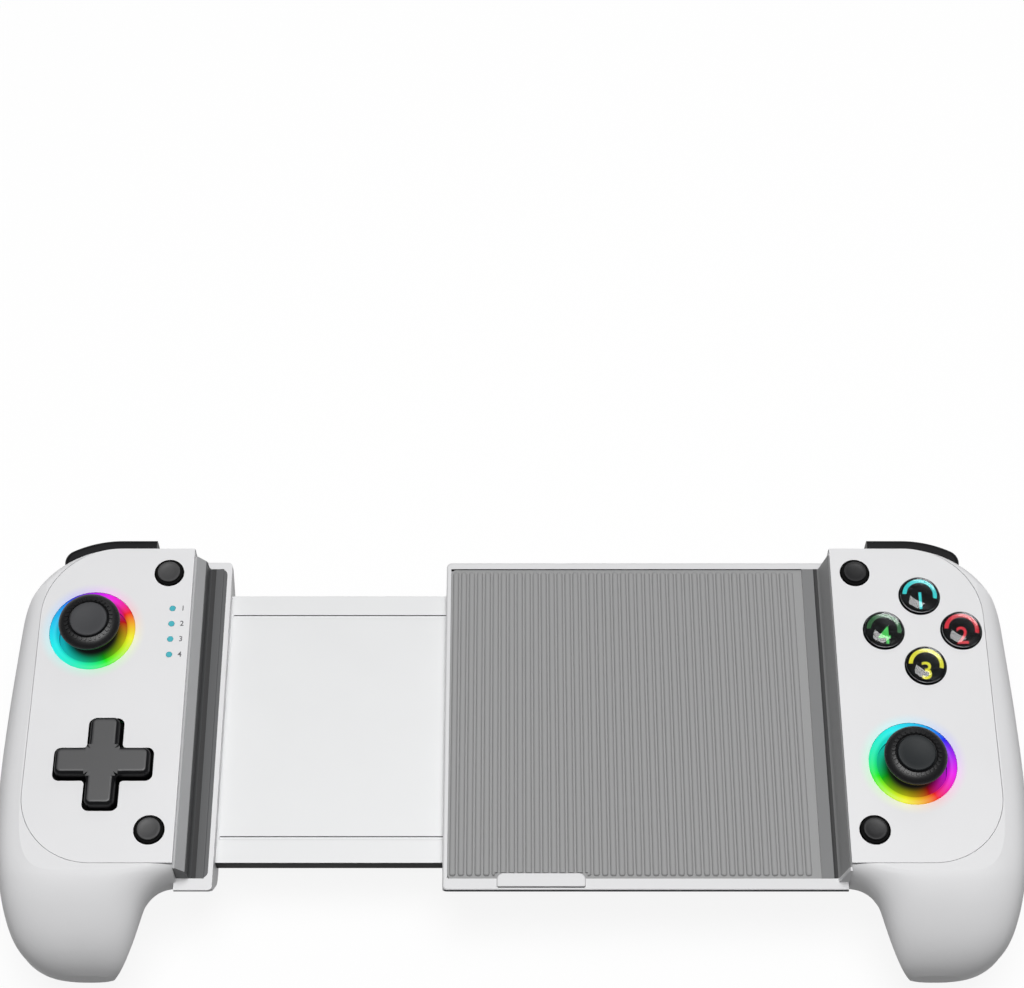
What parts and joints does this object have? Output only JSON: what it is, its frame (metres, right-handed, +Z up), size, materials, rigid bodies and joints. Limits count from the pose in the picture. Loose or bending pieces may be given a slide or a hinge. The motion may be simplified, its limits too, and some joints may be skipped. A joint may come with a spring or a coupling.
{
  "type": "game controller",
  "caption": "Telescopic phone game controller: two handles with sticks, buttons, bumpers and triggers, joined by a sliding plate in a ribbed phone tray.",
  "frame": {"origin": "middle of the footprint, on the surface that the controller lies on", "axes": "+X to the right handle, +Y away from the player towards the triggers, +Z up out of the buttons' side"},
  "size_m": [0.2388, 0.1084, 0.0395],
  "materials": {
    "shell_white": "fine satin moulded plastic",
    "faceplate_white": "smooth matt plastic",
    "slide_plate": "smooth matt plastic",
    "cheek_rubber": "smooth grey rubber",
    "pad_rubber": "ribbed grey rubber",
    "shoulder_key": "black matt plastic",
    "small_button": "black plastic",
    "action_button": "glossy smoked plastic",
    "direction_pad": "dark grey plastic",
    "stick_plastic": "black plastic",
    "stick_rubber": "matt dark rubber",
    "light_ring": "translucent, lit in many colours",
    "player_lamp": "translucent, lit cyan",
    "gimbal_plastic": "dark plastic",
    "board": "green circuit board",
    "membrane_rubber": "grey silicone rubber",
    "steel": "bright steel",
    "battery_wrap": "shrink wrap",
    "brake_felt": "pressed felt"
  },
  "bodies": {
    "right_unit": {"right_shell": "shell_white", "right_faceplate": "faceplate_white", "right_board": "board", "right_membrane": "membrane_rubber", "right_light_ring": "light_ring", "right_stick_base": "gimbal_plastic", "right_bumper_pin": "steel", "right_trigger_pin": "steel", "right_trigger_spring": "steel", "right_shell_screws": "steel", "bay_pad": "cheek_rubber", "tray_front": "shell_white", "tray_back": "shell_white", "tray_pad": "pad_rubber", "slide_rails": "gimbal_plastic", "brake_strips": "brake_felt", "battery": "battery_wrap", "charge_socket": "steel"},
    "left_unit": {"left_shell": "shell_white", "left_faceplate": "faceplate_white", "left_board": "board", "left_membrane": "membrane_rubber", "left_light_ring": "light_ring", "left_stick_base": "gimbal_plastic", "left_bumper_pin": "steel", "left_trigger_pin": "steel", "left_trigger_spring": "steel", "left_shell_screws": "steel", "cheek_pad": "cheek_rubber", "slide_plate": "slide_plate", "player_lamps": "player_lamp"},
    "right_stick_cradle": {"right_stick_outer_gimbal": "gimbal_plastic"},
    "right_stick_yoke": {"right_stick_inner_gimbal": "gimbal_plastic"},
    "right_stick": {"right_stick_shaft": "stick_plastic", "right_stick_cap": "stick_rubber"},
    "right_bumper": {"right_bumper": "shoulder_key"},
    "right_trigger": {"right_trigger": "shoulder_key"},
    "left_stick_cradle": {"left_stick_outer_gimbal": "gimbal_plastic"},
    "left_stick_yoke": {"left_stick_inner_gimbal": "gimbal_plastic"},
    "left_stick": {"left_stick_shaft": "stick_plastic", "left_stick_cap": "stick_rubber"},
    "left_bumper": {"left_bumper": "shoulder_key"},
    "left_trigger": {"left_trigger": "shoulder_key"},
    "dpad_rocker": {"dpad_ball": "gimbal_plastic"},
    "dpad": {"dpad": "direction_pad"},
    "select_button": {"select_button": "small_button"},
    "turbo_button": {"turbo_button": "small_button"},
    "start_button": {"start_button": "small_button"},
    "home_button": {"home_button": "small_button"},
    "action_button_top": {"action_button_top": "action_button"},
    "action_button_right": {"action_button_right": "action_button"},
    "action_button_bottom": {"action_button_bottom": "action_button"},
    "action_button_left": {"action_button_left": "action_button"}
  },
  "joints": [
    {"name": "extension_slide", "type": "slide", "parent": "right_unit", "child": "left_unit", "axis": [-1, 0, 0], "range_m": [-0.052, 0.02]},
    {"name": "right_stick_forward_tilt", "type": "hinge", "parent": "right_unit", "child": "right_stick_cradle", "pos_m": [0.0929, -0.0086, 0.024], "axis": [1, 0, 0], "range_deg": [-13, 13], "stiffness_Nm_per_rad": 0.02},
    {"name": "right_stick_side_tilt", "type": "hinge", "parent": "right_stick_cradle", "child": "right_stick_yoke", "pos_m": [0.0929, -0.0086, 0.024], "axis": [0, 1, 0], "range_deg": [-13, 13], "stiffness_Nm_per_rad": 0.02},
    {"name": "right_stick_click", "type": "slide", "parent": "right_stick_yoke", "child": "right_stick", "axis": [0, 0, -1], "range_m": [0, 0.0005], "stiffness_N_per_m": 2000, "springref_m": -0.0008},
    {"name": "right_bumper_press", "type": "hinge", "parent": "right_unit", "child": "right_bumper", "pos_m": [0.10763, 0.03854, 0.02595], "axis": [0, 0, 1], "range_deg": [0, 2.5], "stiffness_Nm_per_rad": 0.5, "springref_deg": -3.44},
    {"name": "right_trigger_pull", "type": "hinge", "parent": "right_unit", "child": "right_trigger", "pos_m": [0.0968, 0.0401, 0.0184], "axis": [-1, 0, 0], "range_deg": [0, 14], "stiffness_Nm_per_rad": 0.15, "springref_deg": -14.32, "deforming": ["right_trigger_spring"]},
    {"name": "left_stick_forward_tilt", "type": "hinge", "parent": "left_unit", "child": "left_stick_cradle", "pos_m": [-0.1002, 0.0257, 0.024], "axis": [1, 0, 0], "range_deg": [-13, 13], "stiffness_Nm_per_rad": 0.02},
    {"name": "left_stick_side_tilt", "type": "hinge", "parent": "left_stick_cradle", "child": "left_stick_yoke", "pos_m": [-0.1002, 0.0257, 0.024], "axis": [0, 1, 0], "range_deg": [-13, 13], "stiffness_Nm_per_rad": 0.02},
    {"name": "left_stick_click", "type": "slide", "parent": "left_stick_yoke", "child": "left_stick", "axis": [0, 0, -1], "range_m": [0, 0.0005], "stiffness_N_per_m": 2000, "springref_m": -0.0008},
    {"name": "left_bumper_press", "type": "hinge", "parent": "left_unit", "child": "left_bumper", "pos_m": [-0.10763, 0.03854, 0.02595], "axis": [0, 0, -1], "range_deg": [0, 2.5], "stiffness_Nm_per_rad": 0.5, "springref_deg": -3.44},
    {"name": "left_trigger_pull", "type": "hinge", "parent": "left_unit", "child": "left_trigger", "pos_m": [-0.0968, 0.0401, 0.0184], "axis": [-1, 0, 0], "range_deg": [0, 14], "stiffness_Nm_per_rad": 0.15, "springref_deg": -14.32, "deforming": ["left_trigger_spring"]},
    {"name": "dpad_up_down", "type": "hinge", "parent": "left_unit", "child": "dpad_rocker", "pos_m": [-0.0947, -0.0088, 0.0276], "axis": [1, 0, 0], "range_deg": [-3, 3], "stiffness_Nm_per_rad": 0.08, "deforming": ["left_membrane"]},
    {"name": "dpad_left_right", "type": "hinge", "parent": "dpad_rocker", "child": "dpad", "pos_m": [-0.0947, -0.0088, 0.0276], "axis": [0, 1, 0], "range_deg": [-3, 3], "stiffness_Nm_per_rad": 0.08, "deforming": ["left_membrane"]},
    {"name": "select_button_press", "type": "slide", "parent": "left_unit", "child": "select_button", "axis": [0, 0, -1], "range_m": [0, 0.0008], "stiffness_N_per_m": 800, "springref_m": -0.0012, "deforming": ["left_membrane"]},
    {"name": "turbo_button_press", "type": "slide", "parent": "left_unit", "child": "turbo_button", "axis": [0, 0, -1], "range_m": [0, 0.0008], "stiffness_N_per_m": 800, "springref_m": -0.0012, "deforming": ["left_membrane"]},
    {"name": "start_button_press", "type": "slide", "parent": "right_unit", "child": "start_button", "axis": [0, 0, -1], "range_m": [0, 0.0008], "stiffness_N_per_m": 800, "springref_m": -0.0012, "deforming": ["right_membrane"]},
    {"name": "home_button_press", "type": "slide", "parent": "right_unit", "child": "home_button", "axis": [0, 0, -1], "range_m": [0, 0.0008], "stiffness_N_per_m": 800, "springref_m": -0.0012, "deforming": ["right_membrane"]},
    {"name": "action_button_top_press", "type": "slide", "parent": "right_unit", "child": "action_button_top", "axis": [0, 0, -1], "range_m": [0, 0.0013], "stiffness_N_per_m": 500, "springref_m": -0.0016, "deforming": ["right_membrane"]},
    {"name": "action_button_right_press", "type": "slide", "parent": "right_unit", "child": "action_button_right", "axis": [0, 0, -1], "range_m": [0, 0.0013], "stiffness_N_per_m": 500, "springref_m": -0.0016, "deforming": ["right_membrane"]},
    {"name": "action_button_bottom_press", "type": "slide", "parent": "right_unit", "child": "action_button_bottom", "axis": [0, 0, -1], "range_m": [0, 0.0013], "stiffness_N_per_m": 500, "springref_m": -0.0016, "deforming": ["right_membrane"]},
    {"name": "action_button_left_press", "type": "slide", "parent": "right_unit", "child": "action_button_left", "axis": [0, 0, -1], "range_m": [0, 0.0013], "stiffness_N_per_m": 500, "springref_m": -0.0016, "deforming": ["right_membrane"]}
  ]
}
